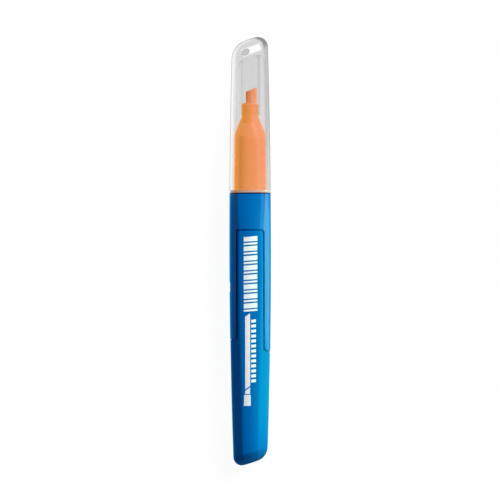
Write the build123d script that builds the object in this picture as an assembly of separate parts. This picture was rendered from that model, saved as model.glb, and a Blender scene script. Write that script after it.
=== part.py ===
"""Slim capped highlighter with a chisel nib, lying on its back.

The pen lies along Y with the cap towards +Y, X runs across it and +Z points out of the labelled
front face. Z = 0 is the flat back face that it rests on. All sizes are in millimetres.
"""
import math
import os

from build123d import *

# Whole pen
LENGTH = 140.0  # end to end along Y
WIDTH = 13.6  # across the middle, along X
DEPTH = 11.3  # back face to front face at the middle
CAP_SIDE_RADIUS = 2440.0  # the sides bow very gently towards the cap end
TAIL_SIDE_RADIUS = 2000.0  # and a little more towards the tail
AXIS_Z = 5.6  # height of the ink system's axis above the back face

# Soft hexagon section, as shares of the half width and half depth
SIDE_ROUND = 0.625  # share of a facet taken by the rounded side
SIDE_HALF_TURN = 35.0  # degrees that half of the rounded side turns through
EDGE_HALF_TURN = 27.5
MID_FRONT_SHARE = 0.575  # half width of the flat front face over that of the pen, at mid length
TAIL_SHARE_SLOPE = 0.0016  # per mm: the face narrows towards the tail
CAP_SHARE_SLOPE = 0.0115  # and flares between the print panel and the cap
CAP_SHARE_START_Y = 7.0
CAP_SHARE_LIMIT = 0.69
EDGE_SHARES = (0.07, 0.17)  # rounding of the front face's edges: crisp barrel, soft cap
EDGE_SHARE_SLOPE = 0.005  # per mm
FRONT_SAG = 0.07  # the front face is slightly domed

# Slanted ends
END_SLOPE = 18.0  # degrees, rising towards +X at the cap
CAP_END_RADII = (3.3, 6.5)  # sharp and blunt corner
TAIL_END_RADII = (2.85, 4.9)
END_DOME = 3.9  # reach of an end's rounding over the front and back faces
CAP_DOME_POWER = 2.0  # 2 is a round profile
TAIL_DOME_POWER = 1.25  # 1 would be a flat bevel
END_SLICES = 15
TILT_SLICES = 4  # slices that lean from square to the end's slope
SLICE_PITCH = 4.0  # longest step between slices along the sides
STRAIGHT_END_Y = 53.0  # where the straight sides give way to an end

# Cap
SEAM_Y = 19.18  # front end of the barrel
SEAM_GAP = 0.12
CAP_WALL = 0.85
CAP_END_SETBACK = 5.9  # solid end of the cap, which holds the lanyard slot
RIM_BEVEL = (0.3, 0.65)  # inwards and along the cap
SLOT_SIZE = (6.4, 2.3)
SLOT_CENTRE = (0.45, 65.75)
SLOT_TILT = 20.0
SLOT_CORNER = 0.6
POST_RADII = (1.35, 0.8)  # along and across the slot
POST_CENTRE = (-1.42, 65.1)
SEAL_MOUTH_Y = 44.6
SEAL_BORE_RADIUS = 2.95
SEAL_WALL = 0.5
SEAL_END_WALL = 0.6

# Front section, which holds the nib
SECTION_HALF_DEPTH_SHARE = 0.81  # half depth over half width
SECTION_REACHES = (5.68, 5.48)  # half width at the seam and at the shoulder
SECTION_FRONT_SHARE = 0.53
SECTION_EDGE_SHARE = 0.1
SHOULDER_EDGE_SHARE = 0.33  # the facets melt into the round spout
SHOULDER_ANGLE = math.radians(23.2)  # slope of its sides
SHOULDER_RADIUS = 5.0  # of the rounding between the body and the shoulder
SHOULDER_Y = (36.5, 43.3)
SHOULDER_SLICES = 12
SPOUT_RADIUS = 2.86
SPOUT_Y = (42.0, 48.2)
SPOUT_CHAMFER = 0.35
STUB_RADIUS = 4.1
STUB_Y = 8.5
SECTION_BORE_RADIUS = 3.5
SECTION_BORE_END = 35.0

# Nib
NIB_RADIUS = 2.2
NIB_TIP_Y = 53.6
NIB_SLANT = 24.0  # degrees, rising towards +X
NIB_FLAT_X = -1.35  # flat ground on the side away from the point
NIB_FLAT_GAP = 0.2  # between the spout and the flat
NIB_SHOULDER_Y = 35.5
NIB_STEM_RADIUS = 1.5
NIB_STEM_Y = 28.0

# Ink reservoir
CORE_RADIUS = 3.2
CORE_Y = (-53.0, 34.0)
FILM_WALL = 0.15
FILM_Y = (-52.0, 31.0)
BREATHER_RADIUS = 0.45
BREATHER_BORE = 0.25
BREATHER_Z = 2.7  # above the axis
FIT = 0.05  # clearance of a loose fit between the inner pieces
CLOSE_FIT = 0.02
OVERCUT = 1.0  # cutters reach past what they cut

# Barrel and grip sleeve
BARREL_STEP = 0.1  # the sleeve stands this much proud of the barrel
BARREL_BORE_RADIUS = 3.6
BARREL_BORE_END = -54.0
SLEEVE_WALL = 0.95
WINDOW_X = (-4.55, 4.65)
WINDOW_Y = 7.15
WINDOW_CORNERS = (0.3, 1.2)  # left and right
ARM_END_Y = (-28.4, -32.8)  # left and right arm, at the pen's sides
ARM_END_CORNER = 1.3
ARM_CLEARANCE = 4.0  # how far the waist and the sleeve's stock reach below the arms
GROOVE = 0.45  # width of the groove round the sleeve's open edges
GROOVE_DEPTH = 0.4
GROOVE_END = 0.5  # it fades out this far inside the pen's outline
LUG_Y = (-13.1, -10.1)
LUG_HALF_DEPTH = 1.3
LUG_GAP = 0.15
LUG_RECESS = 0.25


def half_width(y):
    """Half width of the pen's outline at y."""
    radius = CAP_SIDE_RADIUS if y > 0 else TAIL_SIDE_RADIUS
    return WIDTH / 2 - y * y / (2 * radius)


def depth(y):
    """Depth of the pen at y: it tapers half as fast as the width, and its back stays flat."""
    return DEPTH * (0.5 + half_width(y) / WIDTH)


def front_share(y):
    """Half width of the front face over half width."""
    if y < 0:
        return MID_FRONT_SHARE + TAIL_SHARE_SLOPE * y
    flare = CAP_SHARE_SLOPE * max(y - CAP_SHARE_START_Y, 0)
    return min(MID_FRONT_SHARE + flare, CAP_SHARE_LIMIT)


def edge_share(y):
    """Rounding of the front face's edges over half width."""
    crisp, soft = EDGE_SHARES
    return min(max(crisp + EDGE_SHARE_SLOPE * y, crisp), soft)


def slice_face(left, right, low, high, share, edge):
    """Soft hexagon slice whose outline spans left to right in plan, between two heights."""
    across = (right - left) / 2
    rise = Vector(0, 0, (high - low) / 2)
    centre = (left + right) / 2 + Vector(0, 0, (low + high) / 2)

    def at(u, w):
        return centre + across * u + rise * w

    def corner(start, vertex, end, half_turn):
        weights = [1, math.cos(math.radians(half_turn)), 1]
        return Edge.make_bezier(at(*start), at(*vertex), at(*end), weights=weights)

    flat = share - edge
    crown = 1 - FRONT_SAG
    front_vertex = (share, crown - 2 * FRONT_SAG * edge / flat)
    back_vertex = (share, -1)
    side_weight = math.cos(math.radians(SIDE_HALF_TURN))
    side = ((1 + side_weight - SIDE_ROUND * share) / (1 + side_weight - SIDE_ROUND), 0)

    def between(a, b, part):
        return (a[0] + (b[0] - a[0]) * part, a[1] + (b[1] - a[1]) * part)

    path = [(flat, crown), between(front_vertex, side, edge), between(side, front_vertex, SIDE_ROUND)]
    path += [between(side, back_vertex, SIDE_ROUND), between(back_vertex, side, edge), (flat, -1)]
    mirrored = [(-u, w) for u, w in path]
    edges = [
        Edge.make_bezier(at(-flat, crown), at(0, 1 + FRONT_SAG), at(flat, crown)),
        corner(path[0], front_vertex, path[1], EDGE_HALF_TURN),
        Edge.make_line(at(*path[1]), at(*path[2])),
        corner(path[2], side, path[3], SIDE_HALF_TURN),
        Edge.make_line(at(*path[3]), at(*path[4])),
        corner(path[4], back_vertex, path[5], EDGE_HALF_TURN),
        Edge.make_line(at(*path[5]), at(*mirrored[5])),
        corner(mirrored[5], (-share, -1), mirrored[4], EDGE_HALF_TURN),
        Edge.make_line(at(*mirrored[4]), at(*mirrored[3])),
        corner(mirrored[3], (-side[0], 0), mirrored[2], SIDE_HALF_TURN),
        Edge.make_line(at(*mirrored[2]), at(*mirrored[1])),
        corner(mirrored[1], (-share, front_vertex[1]), mirrored[0], EDGE_HALF_TURN),
    ]
    return Face(Wire(edges))


def body_slice(left, right, inset, dome=0.0):
    """Slice of the pen's body between two plan points, inset from its skin, domed by dome."""
    y = (left.Y + right.Y) / 2
    trim = inset + dome
    return slice_face(left, right, trim, depth(y) - trim, front_share(y), edge_share(y))


def straight_slice(y, inset):
    """Slice of the body square to its length."""
    reach = half_width(y) - inset
    return body_slice(Vector(-reach, y), Vector(reach, y), inset)


def even_steps(start, stop):
    """Evenly spaced stations from start to stop."""
    count = math.ceil(abs(stop - start) / SLICE_PITCH)
    return [start + (stop - start) * step / count for step in range(count + 1)]


def end_pairs(end, inset, setback):
    """Left and right plan points of the slices round one slanted end, seen with that end up."""
    radii = CAP_END_RADII if end > 0 else TAIL_END_RADII
    sharp, blunt = [radius - inset for radius in radii]
    slope = math.radians(END_SLOPE)
    sharp_y = LENGTH / 2 - setback - sharp
    sharp_x = half_width(end * sharp_y) - inset - sharp
    line_y = sharp_y + sharp / math.cos(slope) - sharp_x * math.tan(slope)
    blunt_x = blunt + inset - half_width(end * (sharp_y - sharp))
    blunt_y = line_y + blunt_x * math.tan(slope) - blunt / math.cos(slope)
    pairs = []
    for step in range(END_SLICES):
        turn = step / (END_SLICES - 1)
        right_turn = (math.pi / 2 + slope) * turn
        left_turn = math.pi - (math.pi / 2 - slope) * turn
        right = Vector(sharp_x + sharp * math.cos(right_turn), sharp_y + sharp * math.sin(right_turn))
        left = Vector(blunt_x + blunt * math.cos(left_turn), blunt_y + blunt * math.sin(left_turn))
        pairs.append((left, right))
    return pairs, line_y


def end_slices(end, inset, setback):
    """Slices that turn the square body into its slanted, domed end: end is 1 at the cap."""
    pairs, line_y = end_pairs(end, inset, setback)
    start = STRAIGHT_END_Y - setback
    leaning = []
    for step in range(TILT_SLICES):
        ys = [start + (point.Y - start) * step / TILT_SLICES for point in pairs[0]]
        reach = [half_width(end * y) - inset for y in ys]
        leaning.append((Vector(-reach[0], ys[0]), Vector(reach[1], ys[1])))
    slices = []
    for left, right in leaning + pairs:
        middle = (left + right) / 2
        slope = math.radians(END_SLOPE)
        gap = (line_y + middle.X * math.tan(slope) - middle.Y) * math.cos(slope)
        power = CAP_DOME_POWER if end > 0 else TAIL_DOME_POWER
        into = min(max(1 - gap / END_DOME, 0.0), 1.0)
        dome = END_DOME * (1 - (1 - into**power) ** (1 / power))
        if end > 0:
            slices.append(body_slice(left, right, inset, dome))
        else:
            slices.append(body_slice(right * -1, left * -1, inset, dome))
    return slices


def open_body(start, stop, inset):
    """The body's outside between two square cuts."""
    return loft([straight_slice(y, inset) for y in even_steps(start, stop)], ruled=True)


def closed_body(start, end, inset, setback):
    """The body's outside from a square cut to one slanted end."""
    straight = open_body(start, end * (STRAIGHT_END_Y - setback), inset)
    return straight + loft(end_slices(end, inset, setback), ruled=True)


def rod(radius, start, stop, x=0.0, z=AXIS_Z):
    """Cylinder along Y."""
    plane = Plane(origin=(x, start, z), x_dir=(1, 0, 0), z_dir=(0, 1, 0))
    return extrude(plane * Circle(radius), stop - start)


def block(low, high):
    """Box between two corners."""
    size = [b - a for a, b in zip(low, high)]
    middle = [(a + b) / 2 for a, b in zip(low, high)]
    return Pos(*middle) * Box(*size)


def arm_line(x, drop=0.0):
    """Y of the sleeve's slanted lower edge at x."""
    slope = (ARM_END_Y[1] - ARM_END_Y[0]) / WIDTH
    return ARM_END_Y[0] + slope * (x + WIDTH / 2) - drop


def sleeve_prisms(grow):
    """Front and back prisms that the sleeve fills, grown on their open sides."""
    out = WIDTH
    top = SEAM_Y + grow
    left, right = WINDOW_X
    outline = [(-out, top), (out, top), (out, arm_line(out)), (right, arm_line(right))]
    outline += [(right, WINDOW_Y), (left, WINDOW_Y), (left, arm_line(left)), (-out, arm_line(-out))]
    front = make_face(Polyline(*outline, close=True))
    for x, radius in zip(WINDOW_X, WINDOW_CORNERS):
        corner = [v for v in front.vertices() if abs(v.Y - WINDOW_Y) < 0.01 and abs(v.X - x) < 0.01]
        front = fillet(corner, radius)
    arm_corners = [v for v in front.vertices() if abs(v.X) < out / 2 and v.Y < ARM_END_Y[0]]
    front = fillet(arm_corners, ARM_END_CORNER)
    corners = [(-out, top), (out, top), (out, arm_line(out, grow)), (-out, arm_line(-out, grow))]
    back = make_face(Polyline(*corners, close=True))
    if grow:
        front = offset(front, grow)
    return extrude(Pos(0, 0, AXIS_Z) * front, DEPTH) + extrude(Pos(0, 0, AXIS_Z) * back, -DEPTH)


def make_barrel():
    """Closed slanted tail, front panel and the waist that the grip sleeve slides over."""
    skin = closed_body(SEAM_Y, -1, BARREL_STEP, BARREL_STEP)
    ends = (SEAM_Y + OVERCUT, ARM_END_Y[1] - ARM_CLEARANCE)
    around = open_body(*ends, -OVERCUT)
    waist = around - open_body(*ends, SLEEVE_WALL + CLOSE_FIT)
    reach = WIDTH / 2 - GROOVE_END
    groove = around - open_body(*ends, GROOVE_DEPTH)
    groove &= block((-reach, ends[1], -OVERCUT), (reach, ends[0], DEPTH + OVERCUT))
    barrel = skin - (waist & sleeve_prisms(CLOSE_FIT)) - (groove & sleeve_prisms(GROOVE))
    low_y, high_y = LUG_Y
    reach = LUG_HALF_DEPTH - LUG_GAP
    lug = block(
        (-WIDTH, low_y + LUG_GAP, AXIS_Z - reach),
        (-half_width(0) + 2 * SLEEVE_WALL, high_y - LUG_GAP, AXIS_Z + reach),
    )
    barrel += lug & open_body(high_y + OVERCUT, low_y - OVERCUT, LUG_RECESS)
    barrel -= rod(BARREL_BORE_RADIUS, BARREL_BORE_END, SEAM_Y + OVERCUT)
    barrel -= rod(STUB_RADIUS + FIT, STUB_Y - FIT, SEAM_Y + OVERCUT)
    return barrel


def make_grip_sleeve():
    """Ring with two side arms and a back, open over the front panel."""
    bottom = ARM_END_Y[1] - ARM_CLEARANCE
    bore = open_body(SEAM_Y + OVERCUT, bottom - OVERCUT, SLEEVE_WALL)
    sleeve = open_body(SEAM_Y, bottom, 0) - bore
    sleeve = sleeve & sleeve_prisms(0)
    low_y, high_y = LUG_Y
    window = block(
        (-WIDTH, low_y, AXIS_Z - LUG_HALF_DEPTH),
        (-WIDTH / 4, high_y, AXIS_Z + LUG_HALF_DEPTH),
    )
    return sleeve - window


def section_slice(y, reach, edge=SECTION_EDGE_SHARE):
    """Slice of the front section, square to its length."""
    rise = reach * SECTION_HALF_DEPTH_SHARE
    heights = (AXIS_Z - rise, AXIS_Z + rise)
    return slice_face(Vector(-reach, y), Vector(reach, y), *heights, SECTION_FRONT_SHARE, edge)


def shoulder_drop(along):
    """How much narrower the shoulder is at a distance from its start: a rounding, then a straight slope."""
    rounded = min(along, SHOULDER_RADIUS * math.sin(SHOULDER_ANGLE))
    drop = SHOULDER_RADIUS - math.sqrt(SHOULDER_RADIUS**2 - rounded**2)
    return drop + (along - rounded) * math.tan(SHOULDER_ANGLE)


def make_front_section():
    """Orange nose: plug, faceted body, sloping shoulder and round spout."""
    start, stop = SHOULDER_Y
    wide, narrow = SECTION_REACHES
    body = loft([section_slice(SEAM_Y, wide), section_slice(start, narrow)], ruled=True)
    slices = []
    for step in range(SHOULDER_SLICES):
        along = (stop - start) * (1 - math.cos(math.pi / 2 * step / (SHOULDER_SLICES - 1)))
        edge = SECTION_EDGE_SHARE + (SHOULDER_EDGE_SHARE - SECTION_EDGE_SHARE) * along / (stop - start)
        slices.append(section_slice(start + along, narrow - shoulder_drop(along), edge))
    spout = rod(SPOUT_RADIUS, *SPOUT_Y)
    spout = chamfer(spout.faces().sort_by(Axis.Y)[-1].edges(), SPOUT_CHAMFER)
    nose = body + loft(slices, ruled=True) + spout + rod(STUB_RADIUS, STUB_Y, SEAM_Y + OVERCUT)
    nose -= rod(SECTION_BORE_RADIUS, STUB_Y - OVERCUT, SECTION_BORE_END)
    return nose - rod(NIB_RADIUS + FIT, SECTION_BORE_END - OVERCUT, SPOUT_Y[1] + OVERCUT)


def make_nib():
    """Fibre nib with a slanted chisel point and a stem that feeds from the core."""
    nib = rod(NIB_RADIUS, NIB_SHOULDER_Y, NIB_TIP_Y + OVERCUT)
    nib += rod(NIB_STEM_RADIUS, NIB_STEM_Y, NIB_SHOULDER_Y + OVERCUT)
    nib -= block((-WIDTH, SPOUT_Y[1] + NIB_FLAT_GAP, 0), (NIB_FLAT_X, LENGTH / 2, DEPTH))
    slant = Pos(NIB_RADIUS, NIB_TIP_Y, AXIS_Z) * Rot(0, 0, NIB_SLANT) * Pos(0, 5, 0) * Box(20, 10, 10)
    return nib - slant


def make_ink_core():
    """Fibre rod that holds the ink, with a groove for the breather and a pocket for the nib."""
    core = rod(CORE_RADIUS, *CORE_Y)
    core -= rod(NIB_STEM_RADIUS, NIB_STEM_Y, CORE_Y[1] + OVERCUT)
    groove_half = BREATHER_RADIUS + FIT
    start, stop = CORE_Y[0] - OVERCUT, CORE_Y[1] + OVERCUT
    height = AXIS_Z + BREATHER_Z
    core -= rod(groove_half, start, stop, z=height)
    return core - block((-groove_half, start, height), (groove_half, stop, AXIS_Z + 2 * CORE_RADIUS))


def make_reservoir_film():
    """Plastic film rolled round the core."""
    inner = CORE_RADIUS + CLOSE_FIT
    return rod(inner + FILM_WALL, *FILM_Y) - rod(inner, FILM_Y[0] - OVERCUT, FILM_Y[1] + OVERCUT)


def make_breather_tube():
    """Thin tube that lets air back past the ink core."""
    height = AXIS_Z + BREATHER_Z
    tube = rod(BREATHER_RADIUS, *FILM_Y, z=height)
    return tube - rod(BREATHER_BORE, FILM_Y[0] - OVERCUT, FILM_Y[1] + OVERCUT, z=height)


def cap_cavity():
    """Space inside the cap."""
    return closed_body(SEAM_Y - OVERCUT, 1, CAP_WALL, CAP_END_SETBACK)


def make_cap_shell():
    """Clear cap: thin wall, solid slanted end and a lanyard slot with a post at its left."""
    inwards, along = RIM_BEVEL
    mouth_y = SEAM_Y + SEAM_GAP
    rim = loft([straight_slice(mouth_y, inwards), straight_slice(mouth_y + along, 0)], ruled=True)
    shell = rim + closed_body(mouth_y + along, 1, 0, 0) - cap_cavity()
    tilt = Rot(0, 0, SLOT_TILT)
    slot = Pos(*SLOT_CENTRE, -OVERCUT) * tilt * RectangleRounded(*SLOT_SIZE, SLOT_CORNER)
    post = Pos(*POST_CENTRE, -OVERCUT) * tilt * Ellipse(*POST_RADII)
    return shell - extrude(slot - post, DEPTH + 2 * OVERCUT)


def make_cap_seal():
    """Inner tube of the cap, which closes round the spout to keep the nib wet."""
    outer = SEAL_BORE_RADIUS + SEAL_WALL
    seal = rod(outer, SEAL_MOUTH_Y, LENGTH / 2) & cap_cavity()
    end_y = LENGTH / 2 - CAP_END_SETBACK - SEAL_END_WALL
    bore = rod(SEAL_BORE_RADIUS, SEAL_MOUTH_Y - OVERCUT, LENGTH / 2)
    above = Pos(0, end_y, AXIS_Z) * Rot(0, 0, END_SLOPE) * Pos(0, 5, 0) * Box(30, 10, 20)
    return seal - (bore - above)


PARTS = {
    "barrel": make_barrel,
    "grip_sleeve": make_grip_sleeve,
    "front_section": make_front_section,
    "nib": make_nib,
    "ink_core": make_ink_core,
    "reservoir_film": make_reservoir_film,
    "breather_tube": make_breather_tube,
    "cap_shell": make_cap_shell,
    "cap_seal": make_cap_seal,
}

os.makedirs("parts", exist_ok=True)
for name, make in PARTS.items():
    export_step(make(), f"parts/{name}.step")
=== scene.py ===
import math

import bmesh
import bpy
from mathutils import Matrix, Vector
from mathutils.bvhtree import BVHTree


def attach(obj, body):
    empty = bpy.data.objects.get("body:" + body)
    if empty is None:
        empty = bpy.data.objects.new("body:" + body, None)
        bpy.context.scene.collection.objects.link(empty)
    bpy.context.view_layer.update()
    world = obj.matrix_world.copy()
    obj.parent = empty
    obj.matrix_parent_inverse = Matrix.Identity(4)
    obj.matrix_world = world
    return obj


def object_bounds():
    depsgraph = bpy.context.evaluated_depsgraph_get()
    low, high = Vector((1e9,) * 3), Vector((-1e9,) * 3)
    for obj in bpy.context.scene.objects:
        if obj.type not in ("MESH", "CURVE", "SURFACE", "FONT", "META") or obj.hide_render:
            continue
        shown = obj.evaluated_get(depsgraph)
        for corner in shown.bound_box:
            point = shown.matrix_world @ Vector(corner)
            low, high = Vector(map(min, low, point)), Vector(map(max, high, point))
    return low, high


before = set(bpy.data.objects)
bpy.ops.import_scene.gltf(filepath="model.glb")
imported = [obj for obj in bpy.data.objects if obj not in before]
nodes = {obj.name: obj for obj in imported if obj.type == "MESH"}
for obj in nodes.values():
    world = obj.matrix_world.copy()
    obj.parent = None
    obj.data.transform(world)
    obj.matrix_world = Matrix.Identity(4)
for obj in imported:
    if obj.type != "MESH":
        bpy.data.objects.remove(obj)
cad_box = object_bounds()
low, high = Vector(cad_box[0]), Vector(cad_box[1])
middle = (low + high) / 2

# The camera. Lengths are in metres, and only the lens and its sensor are in millimetres.
FRAME_WIDTH = 0.1632  # width of the view at the pen
LENS, SENSOR = 300.0, 36.0
VIEW_SHIFT = (-0.00004, 0.0004)  # across and along, from above the pen's middle
VIEW_TURN = -0.0011  # in radians

# The cap and what shows in it.
END_SLOPE = math.radians(18)  # of the pen's slanted ends
END_LINE = 0.0628  # where the cap looks solid, on the pen's axis
CAVITY_END = 0.0642  # where the space inside the cap ends, on the pen's axis
RIM_LINE = 0.0199  # end of the bevel at the cap's rim
SIDE_RADIUS = 2.44  # bow of the cap's sides
WALL_LINES = (0.0059, 0.0056)  # where the cap's left and right walls start at the pen's middle
WALL_BLUR = 0.0004  # each way from that line
LEFT_WALL_PAINTED_LIGHT = 0.985  # share of light that passes it: nearly all, painted light that makes the left wall a bright band
SLOT_CENTRE, SLOT_TILT = Vector((0.00045, 0.06575)), math.radians(20)
SLOT_HALF_SIZE = Vector((0.00325, 0.0012))
POST_CENTRE, POST_RADII = Vector((-0.00142, 0.0651)), Vector((0.0014, 0.00085))

# Clear plastic: values of Layer Weight's Facing, from 0 square-on to 1 edge-on.
EDGE_ON = (0.7, 0.9)  # where the tint turns into the denser one of an edge
GLOSS_RISE = (0.3, 0.5)  # where gloss sets in
GLOSS_FALL = (0.75, 0.9)  # where most of it fades again

# The pen's body.
LIP_LINE, LIP_BLUR = 0.0187, 0.0001  # start of the shade under the cap's rim
LIP_SHADE = (0.0, 0.02, 0.10, 1)
STRIPE_PAINTED_LIGHT, BAND_PAINTED_SHADE = 1.09, 0.87  # strength of the painted light: brighter at the orange part's left edge, and painted shade in the band beside it
STRIPE_FADE, BAND_FADE = (-0.0040, -0.0033), (-0.0025, -0.0009)  # across, where each turns into the next
SHOULDER_FADE = (0.0366, 0.0376)  # along, where the band ends
INK_HEIGHT = 0.00003  # of the print above the panel
INK_GRID = (0.0004, 0.0006)  # size of its mesh faces, across and along

# The studio.
FLOOR_REACH, FLOOR_GAP = 1.2, 0.00005  # the gap keeps the floor clear of the pen
FLOOR_GLOW = 0.96  # brightness of floor and backdrop to the camera
CARD_GLOW, PAPER_GLOW, FLAG_GLOW = 2.5, 1.12, 0.01  # the same, of the painted card, paper and flag that show only in gloss as painted reflections
# painted reflections: colours of the blue strips left of the barrel, which show only in gloss
NEAR_STRIP, FAR_STRIP = (0.0, 1.1, 2.1, 1), (0.0, 0.3, 1.3, 1)
FILL_COLOUR, FILL_GLOW = (0.15, 0.55, 1, 1), 0.1
KICKER_LINE = -0.023  # the kicker's place along the pen, from its middle


def camera():
    """Looks straight down on the front face, with the cap at the top of the picture."""
    data = bpy.data.cameras.new("camera")
    data.lens = LENS
    data.sensor_width = SENSOR
    cam = bpy.data.objects.new("camera", data)
    bpy.context.scene.collection.objects.link(cam)
    distance = FRAME_WIDTH * LENS / SENSOR
    cam.location = (middle.x + VIEW_SHIFT[0], middle.y + VIEW_SHIFT[1], middle.z + distance)
    cam.rotation_euler.z = VIEW_TURN
    bpy.context.scene.camera = cam


def area_light(name, place, size, power, colour=(1, 1, 1), aim=(0, 0, 0), spread=math.pi):
    """Softbox whose place and aim are measured from the middle of the pen."""
    data = bpy.data.lights.new(name, "AREA")
    data.shape = "RECTANGLE"
    data.size, data.size_y = size
    data.energy = power
    data.color = colour
    data.spread = spread
    lamp = bpy.data.objects.new(name, data)
    lamp.location = middle + Vector(place)
    lamp.rotation_euler = (Vector(aim) - Vector(place)).to_track_quat("-Z", "Y").to_euler()
    lamp.visible_camera = False
    bpy.context.scene.collection.objects.link(lamp)
    return lamp


class Nodes:
    """Short calls for building one node material."""

    def __init__(self, name):
        self.material = bpy.data.materials.new(name)
        self.material.use_nodes = True
        self.tree = self.material.node_tree
        self.tree.nodes.clear()
        self.output = self.tree.nodes.new("ShaderNodeOutputMaterial")
        self.place = self.tree.nodes.new("ShaderNodeTexCoord").outputs["Object"]

    def add(self, kind, **inputs):
        """New node with some of its inputs set or linked. An underscore stands for a space."""
        node = self.tree.nodes.new(kind)
        for key, value in inputs.items():
            self.put(node.inputs[key.replace("_", " ")], value)
        return node

    def put(self, socket, value):
        """Links or sets one input."""
        if isinstance(value, bpy.types.NodeSocket):
            self.tree.links.new(value, socket)
        else:
            socket.default_value = value

    def axis(self, letter):
        """Coordinate of the surface point along one axis of the shared frame."""
        return self.add("ShaderNodeSeparateXYZ", Vector=self.place).outputs[letter]

    def noise(self, scale, detail=2.0, stretch=(1, 1, 1)):
        mapping = self.add("ShaderNodeMapping", Vector=self.place, Scale=stretch)
        pattern = self.add("ShaderNodeTexNoise", Vector=mapping.outputs[0], Scale=scale, Detail=detail)
        return pattern.outputs[0]

    def clouds(self, scale, detail=2.0, low_to=0.0, high_to=1.0):
        """Noise spread over the whole range from low_to to high_to."""
        return self.ramp(self.noise(scale, detail), 0.3, 0.7, low_to, high_to)

    def ramp(self, value, low_at, high_at, low_to=0.0, high_to=1.0):
        """Goes from low_to to high_to as the value goes from low_at to high_at, and stays level beyond."""
        node = self.add("ShaderNodeMapRange", Value=value)
        ends = {"From Min": low_at, "From Max": high_at, "To Min": low_to, "To Max": high_to}
        for key, number in ends.items():
            node.inputs[key].default_value = number
        return node.outputs[0]

    def mix(self, factor, a, b):
        """Mix of two colours, on the node's colour sockets."""
        node = self.tree.nodes.new("ShaderNodeMix")
        node.data_type = "RGBA"
        self.put(node.inputs[0], factor)
        self.put(node.inputs[6], a)
        self.put(node.inputs[7], b)
        return node.outputs[2]

    def bump(self, height, strength, distance, normal=None):
        node = self.add("ShaderNodeBump", Height=height, Strength=strength, Distance=distance)
        if normal is not None:
            self.put(node.inputs["Normal"], normal)
        return node.outputs[0]

    def bevel(self, radius):
        node = self.tree.nodes.new("ShaderNodeBevel")
        node.samples = 4
        node.inputs["Radius"].default_value = radius
        return node.outputs[0]

    def math(self, operation, a, b=0.0):
        node = self.tree.nodes.new("ShaderNodeMath")
        node.operation = operation
        self.put(node.inputs[0], a)
        self.put(node.inputs[1], b)
        return node.outputs[0]

    def blend(self, factor, a, b):
        """Mix of two shaders."""
        node = self.tree.nodes.new("ShaderNodeMixShader")
        self.put(node.inputs[0], factor)
        self.put(node.inputs[1], a)
        self.put(node.inputs[2], b)
        return node.outputs[0]

    def done(self, shader):
        self.tree.links.new(shader, self.output.inputs["Surface"])
        return self.material


def moulded_plastic(name, colour, dark, roughness, gloss, edge=0.00015, painted_glow=None, lip=None):
    """Satin moulded plastic: slight clouding, very fine moulding texture, edges eased by a small radius.
    The emission, in the colour of a fluorescent dye, is painted light: the part shines though it is no
    lamp.
    Past y = lip a painted shade stands for the shade that the cap's rim casts on the plastic."""
    n = Nodes(name)
    base = n.mix(n.clouds(60.0, 3.0), (*dark, 1), (*colour, 1))
    if lip:
        base = n.mix(n.ramp(n.axis("Y"), lip - LIP_BLUR, lip + LIP_BLUR), base, LIP_SHADE)
    rough = n.clouds(1800.0, 3.0, roughness - 0.015, roughness + 0.015)
    shader = n.add("ShaderNodeBsdfPrincipled", Base_Color=base, Roughness=rough)
    shader.inputs["Specular IOR Level"].default_value = gloss
    # painted light: emission makes the part shine though it is no lamp
    if painted_glow:
        shader.inputs["Emission Color"].default_value = (*painted_glow, 1)
        n.put(shader.inputs["Emission Strength"], painted_edge_light(n))
    n.put(shader.inputs["Normal"], n.bump(n.noise(2500.0, 2.0), 0.03, 0.00002, n.bevel(edge)))
    return n.done(shader.outputs[0])


def painted_edge_light(n):
    """Strength of the painted light that the part gives off: brighter along the left edge as painted light,
    and weaker in a band beside it as painted shade; the band ends at the shoulder."""
    across = n.axis("X")
    # painted light along the left edge, painted shade in the band beside it
    left = n.ramp(across, *STRIPE_FADE, STRIPE_PAINTED_LIGHT, BAND_PAINTED_SHADE)
    right = n.ramp(across, *BAND_FADE, BAND_PAINTED_SHADE, 1.0)
    shoulder = n.ramp(n.axis("Y"), *SHOULDER_FADE)
    return n.math("MAXIMUM", n.math("MAXIMUM", left, right), shoulder)


def fibre(name, colour, dark, painted_glow):
    """Bonded felt fibres running along the pen, soaked in fluorescent ink. Their emission is painted light:
    the fibre shines though it is no lamp.
    """
    n = Nodes(name)
    strands = n.noise(2600.0, 3.0, stretch=(1, 0.08, 1))
    base = n.mix(n.ramp(strands, 0.35, 0.65), (*dark, 1), (*colour, 1))
    shader = n.add("ShaderNodeBsdfPrincipled", Base_Color=base, Roughness=0.75)
    shader.inputs["Specular IOR Level"].default_value = 0.2
    # painted light: emission makes the fibre shine though it is no lamp
    shader.inputs["Emission Color"].default_value = (*painted_glow, 1)
    shader.inputs["Emission Strength"].default_value = 1.0
    n.put(shader.inputs["Normal"], n.bump(strands, 0.5, 0.00008))
    return n.done(shader.outputs[0])


def grey(level):
    return (level, level, level, 1)


def past(n, start, width):
    """Mask of the points that lie beyond a line across the pen parallel to its slanted end."""
    lean = n.math("MULTIPLY", n.axis("X"), math.tan(END_SLOPE))
    return n.ramp(n.math("SUBTRACT", n.axis("Y"), lean), start, start + width)


def side_wall(n, side, start):
    """Mask of the cap's solid wall on one side (1 right, -1 left), as seen from the front."""
    bow = n.math("MULTIPLY", n.math("POWER", n.axis("Y"), 2.0), 0.5 / SIDE_RADIUS)
    reach = n.math("ADD", n.math("MULTIPLY", n.axis("X"), side), bow)
    return n.ramp(reach, start - WALL_BLUR, start + WALL_BLUR)


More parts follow.
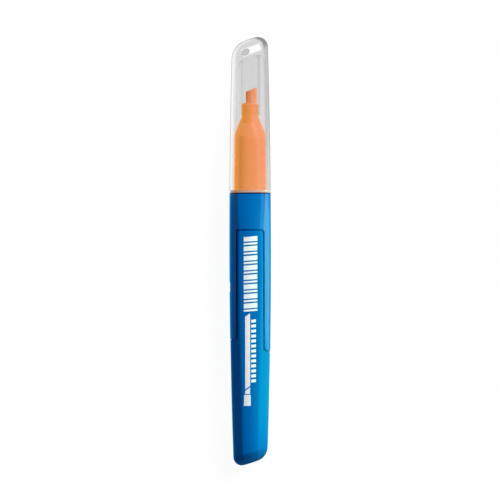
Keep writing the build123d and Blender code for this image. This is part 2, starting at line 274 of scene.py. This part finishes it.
def clear_plastic(name, tint, edge, solid, roughness=0.03, gloss=0.58):
    """Polished clear plastic: a wall tints what is behind it, and differently where it is seen edge-on.
    tint, edge and solid are the shares of light that pass a wall square-on, a wall edge-on and the cap's
    solid parts. The right side wall takes the solid share as painted shade, and the left one passes nearly
    all light as painted light. Lamps shine through, so that what the cap covers is lit."""
    n = Nodes(name)
    rough = n.clouds(300.0, 2.0, roughness, roughness + 0.03)
    normal = n.bump(n.noise(250.0, 1.0), 0.04, 0.0002)
    facing = n.add("ShaderNodeLayerWeight", Blend=0.5, Normal=normal).outputs["Facing"]
    # the solid end is thick plastic; painted shade: the right side wall is tinted like the solid end
    dense_and_shaded = n.math("MAXIMUM", past(n, END_LINE - 0.002, 0.002), side_wall(n, 1.0, WALL_LINES[1]))
    body = n.mix(dense_and_shaded, grey(tint), grey(solid))
    # painted light: the left side wall passes nearly all light, a bright band
    body = n.mix(side_wall(n, -1.0, WALL_LINES[0]), body, grey(LEFT_WALL_PAINTED_LIGHT))
    colour = n.mix(n.ramp(facing, *EDGE_ON), body, grey(edge))
    through = n.add("ShaderNodeBsdfTransparent", Color=colour)
    mirror = n.add("ShaderNodeBsdfGlossy", Roughness=rough, Normal=normal)
    peak = n.ramp(past(n, END_LINE, 0.003), 0.0, 1.0, gloss, 1.15 * gloss)  # stronger on the end
    rise = n.math("MULTIPLY", n.ramp(facing, *GLOSS_RISE), peak)
    leaving = n.tree.nodes.new("ShaderNodeNewGeometry").outputs["Backfacing"]
    rise = n.math("MULTIPLY", rise, n.ramp(leaving, 0.0, 1.0, 1.0, 0.1))  # weak from within
    share = n.math("MULTIPLY", rise, n.ramp(facing, *GLOSS_FALL, 1.0, 0.15))
    surface = n.blend(share, through.outputs[0], mirror.outputs[0])
    path = n.tree.nodes.new("ShaderNodeLightPath")
    unseen = n.math("MAXIMUM", path.outputs["Is Shadow Ray"], path.outputs["Is Diffuse Ray"])
    clear = n.add("ShaderNodeBsdfTransparent", Color=grey(0.97))
    return n.done(n.blend(unseen, surface, clear.outputs[0]))


def plain_clear(name, tint):
    """Clear plastic seen edge-on inside the cap's end, where its gloss does not show."""
    n = Nodes(name)
    colour = n.mix(n.clouds(400.0), grey(tint - 0.02), grey(tint + 0.02))
    return n.done(n.add("ShaderNodeBsdfTransparent", Color=colour).outputs[0])


def painted_light_rim(name):
    """Cut edge of the clear plastic, half-clear and pale grey: painted light for the pale band that the
    edge shows.
    """
    n = Nodes(name)
    # painted light: a pale grey that stands in for light the rim's edge refracts
    speckle = n.mix(n.clouds(1500.0, 3.0), grey(0.6), grey(0.75))
    shader = n.add("ShaderNodeBsdfPrincipled", Base_Color=speckle, Roughness=0.4)
    shader.inputs["Alpha"].default_value = 0.6
    return n.done(shader.outputs[0])


def printed_ink(name):
    """White pad-printed ink with slightly uneven coverage."""
    n = Nodes(name)
    cover = n.ramp(n.noise(2500.0, 3.0), 0.35, 0.6)
    base = n.mix(cover, (0.8, 0.82, 0.86, 1), (0.9, 0.9, 0.9, 1))
    shader = n.add("ShaderNodeBsdfPrincipled", Base_Color=base, Roughness=0.45)
    shader.inputs["Specular IOR Level"].default_value = 0.2
    n.put(shader.inputs["Normal"], n.bump(cover, 0.1, 0.00002))
    return n.done(shader.outputs[0])


def floor_material():
    """Bright paper sweep. To glossy rays it shows painted reflections instead, a studio that is not there:
    a black flag left of the barrel with a blue strip in front of it, a white card right of the sleeve,
    white paper left of the cap, and a flag right of the cap that darkens towards its end."""
    n = Nodes("floor")
    n.material.cycles.emission_sampling = "NONE"
    tone = n.mix(n.clouds(8.0), grey(0.04), grey(0.05))
    paper = n.add("ShaderNodeBsdfPrincipled", Base_Color=tone, Roughness=0.9)
    paper.inputs["Specular IOR Level"].default_value = 0.1
    paper.inputs["Emission Color"].default_value = (1, 1, 1, 1)
    paper.inputs["Emission Strength"].default_value = FLOOR_GLOW
    across, along = n.axis("X"), n.axis("Y")
    right = n.ramp(across, -0.004, 0.004)
    above_rim = n.ramp(along, 0.0185, 0.0200)
    beside_sleeve = n.ramp(along, -0.034, -0.031)
    beside_cap = n.ramp(along, 0.028, 0.044, 0.85, 0.6)
    beyond_end = n.ramp(along, 0.064, 0.070, 1.0, 0.15)
    far_left = n.mix(beside_sleeve, grey(FLAG_GLOW), FAR_STRIP)
    strip = n.mix(n.ramp(across, -0.024, -0.014), far_left, NEAR_STRIP)
    card = n.math("MULTIPLY", beside_sleeve, n.ramp(across, 0.016, 0.025))
    painted_barrel_reflection = n.mix(right, strip, n.mix(card, grey(FLAG_GLOW), grey(CARD_GLOW)))
    painted_cap_flag = n.mix(n.math("MINIMUM", beside_cap, beyond_end), grey(0.0), grey(1.0))
    view = n.mix(above_rim, painted_barrel_reflection, n.mix(right, grey(PAPER_GLOW), painted_cap_flag))
    # painted reflections: glossy rays see this painted studio instead of the paper
    studio = n.add("ShaderNodeEmission", Color=view)
    path = n.tree.nodes.new("ShaderNodeLightPath")
    return n.done(n.blend(path.outputs["Is Glossy Ray"], paper.outputs[0], studio.outputs[0]))


def floor():
    """Plain pale floor just below the pen."""
    mesh = bpy.data.meshes.new("floor")
    corners = [(x * FLOOR_REACH, y * FLOOR_REACH) for x, y in ((-1, -1), (1, -1), (1, 1), (-1, 1))]
    mesh.from_pydata([(x, y, low.z - FLOOR_GAP) for x, y in corners], [], [(0, 1, 2, 3)])
    obj = bpy.data.objects.new("floor", mesh)
    bpy.context.scene.collection.objects.link(obj)
    obj.data.materials.append(floor_material())


def dress(node, material):
    """Gives a CAD node its material."""
    mesh = nodes[node].data
    mesh.materials.clear()
    mesh.materials.append(material)


def sort_faces(node, materials, choose):
    """Gives a CAD node several materials: choose(centre, normal) picks one for each face."""
    mesh = nodes[node].data
    mesh.materials.clear()
    for material in materials:
        mesh.materials.append(material)
    for face in mesh.polygons:
        face.material_index = choose(face.center, face.normal)


def cap_face(centre, normal):
    """Index into the cap's materials: 0 outer skin, 1 inside, 2 rim, 3 slot wall, 4 post."""
    if centre.y < RIM_LINE:
        return 2
    post = Matrix.Rotation(-SLOT_TILT, 2) @ (centre.xy - POST_CENTRE)
    if Vector((post.x / POST_RADII.x, post.y / POST_RADII.y)).length < 1:
        return 4
    spot = Matrix.Rotation(-SLOT_TILT, 2) @ (centre.xy - SLOT_CENTRE)
    if abs(spot.x) < SLOT_HALF_SIZE.x and abs(spot.y) < SLOT_HALF_SIZE.y:
        return 3
    inwards = normal.x * centre.x + normal.z * (centre.z - middle.z) < 0
    if centre.y < CAVITY_END + centre.x * math.tan(END_SLOPE) and (inwards or normal.y < -0.5):
        return 1
    return 0


def surroundings():
    """Weak bluish fill light, which the camera sees as a white backdrop like the floor."""
    world = bpy.data.worlds.new("studio")
    bpy.context.scene.world = world
    world.use_nodes = True
    tree = world.node_tree
    fill = tree.nodes["Background"]
    fill.inputs["Color"].default_value = FILL_COLOUR
    fill.inputs["Strength"].default_value = FILL_GLOW
    backdrop = tree.nodes.new("ShaderNodeBackground")
    backdrop.inputs["Color"].default_value = grey(FLOOR_GLOW)
    path = tree.nodes.new("ShaderNodeLightPath")
    choice = tree.nodes.new("ShaderNodeMixShader")
    tree.links.new(path.outputs["Is Camera Ray"], choice.inputs[0])
    tree.links.new(fill.outputs[0], choice.inputs[1])
    tree.links.new(backdrop.outputs[0], choice.inputs[2])
    tree.links.new(choice.outputs[0], tree.nodes["World Output"].inputs[0])


def light():
    """Large key softbox from the upper right, a low and narrow green kicker that brightens the right side
    of the barrel and sleeve, and a softbox that shows in the gloss only."""
    softbox = (1.0, 0.7)
    key = area_light("key", (0.8, 0.75, 0.8), softbox, power=33.0, colour=(1.0, 1.0, 0.96))
    kicker = area_light(
        "kicker",
        place=(0.2, KICKER_LINE, 0.016),
        size=(0.078, 0.02),
        power=0.0085,
        colour=(0.1, 1.0, 0.1),
        aim=(0, KICKER_LINE, 0),
        spread=0.16,
    )
    for lamp in (key, kicker):
        lamp.visible_glossy = False
    sheen = area_light("sheen", (0.85, 0.0, 0.8), softbox, power=3.5)
    sheen.visible_diffuse = False


def slanted_bar(left, right, top, height, lean):
    """Corners of a bar across the panel whose left end lies lower by the lean."""
    bottom = top - height
    return [(left, top - lean), (right, top), (right, bottom), (left, bottom - lean)]


def print_shapes():
    """Corners of the white printed shapes on the front panel, in millimetres: plain bars and blocks."""
    shapes = []
    y = 5.0
    for _ in range(8):
        for height, gap in ((1.55, 0.45), (0.6, 0.5)):
            shapes.append(slanted_bar(-2.1, 2.35, y, height, lean=0.35))
            y -= height + gap
    for step in range(13):
        shapes.append(slanted_bar(0.35, 1.85, -22.1 - 1.62 * step, height=0.95, lean=0.15))
    left, right = -1.67, -0.03
    shapes.append([(left, -21.2), (right, -20.1), (right, -43.7), (left, -44.9)])
    shapes.append([(left, -45.4), (right, -44.2), (right, -46.35), (left, -46.35)])
    shapes.append([(-1.95, -46.65), (0.1, -46.65), (0.15, -50.25), (-2.1, -50.25)])
    return shapes


def printed_graphic():
    """Thin ink film laid on the front panel: each shape is a fine grid dropped on the barrel."""
    barrel = nodes["barrel"].data
    tree = BVHTree.FromPolygons([v.co for v in barrel.vertices], [p.vertices for p in barrel.polygons])
    build = bmesh.new()
    for shape in print_shapes():
        a, b, c, d = [Vector((x / 1000, y / 1000)) for x, y in shape]
        across = max(2, round((b - a).length / INK_GRID[0]))
        down = max(2, round((d - a).length / INK_GRID[1]))
        grid = []
        for j in range(down + 1):
            left, right = a.lerp(d, j / down), b.lerp(c, j / down)
            for i in range(across + 1):
                point = left.lerp(right, i / across)
                above = Vector((point.x, point.y, 0.1))
                hit = tree.ray_cast(above, Vector((0, 0, -1)))[0]
                grid.append(build.verts.new((point.x, point.y, hit.z + INK_HEIGHT)))
        for j in range(down):
            for i in range(across):
                k = j * (across + 1) + i
                build.faces.new((grid[k], grid[k + across + 1], grid[k + across + 2], grid[k + 1]))
    mesh = bpy.data.meshes.new("printed_graphic")
    build.to_mesh(mesh)
    build.free()
    obj = bpy.data.objects.new("printed_graphic", mesh)
    bpy.context.scene.collection.objects.link(obj)
    mesh.materials.append(printed_ink("printed_ink"))
    film = obj.modifiers.new("thickness", "SOLIDIFY")
    film.thickness = INK_HEIGHT * 1.5  # reaches into the panel, so that no gap shows
    film.offset = -1
    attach(obj, "pen")


camera()
surroundings()
light()
floor()
blues = (0.0, 0.135, 0.45), (0.0, 0.127, 0.43)
oranges = (0.22, 0.088, 0.128), (0.20, 0.08, 0.118)
whites = (0.8, 0.8, 0.8), (0.75, 0.75, 0.75)
blue = moulded_plastic("blue_plastic", *blues, roughness=0.22, gloss=0.03)
sleeve_blue = moulded_plastic("sleeve_blue_plastic", *blues, roughness=0.22, gloss=0.25, lip=LIP_LINE)
# the orange part shines with painted light
orange = moulded_plastic(
    "orange_plastic", *oranges, roughness=0.28, gloss=0.4, edge=0.0003, painted_glow=(0.79, 0.27, 0.0)
)
white = moulded_plastic("breather_plastic", *whites, roughness=0.5, gloss=0.3)
dress("barrel", blue)
dress("grip_sleeve", sleeve_blue)
dress("front_section", orange)
# the nib and the ink core shine with painted light
dress("nib", fibre("nib_fibre", (0.46, 0.26, 0.16), (0.40, 0.21, 0.12), painted_glow=(0.52, 0.10, 0.012)))
dress("ink_core", fibre("core_fibre", (0.5, 0.2, 0.1), (0.4, 0.15, 0.06), painted_glow=(0.45, 0.15, 0.02)))
dress("reservoir_film", clear_plastic("film_plastic", 0.95, 0.8, 0.95, roughness=0.1))
dress("breather_tube", white)
cap_materials = (
    clear_plastic("cap_skin", tint=0.98, edge=0.45, solid=0.82),
    clear_plastic("cap_inside", tint=0.85, edge=0.85, solid=0.99, roughness=0.3, gloss=0.03),
    painted_light_rim("cap_rim"),
    plain_clear("cap_slot", 0.97),
    plain_clear("cap_post", 0.74),
)
sort_faces("cap_shell", cap_materials, cap_face)
dress("cap_seal", clear_plastic("seal_plastic", 0.985, 0.93, 0.985, roughness=0.05, gloss=0.2))
printed_graphic()

scene = bpy.context.scene
scene.view_settings.view_transform = "Standard"
scene.cycles.use_denoising = True
scene.cycles.use_light_tree = False
scene.cycles.transparent_max_bounces = 32
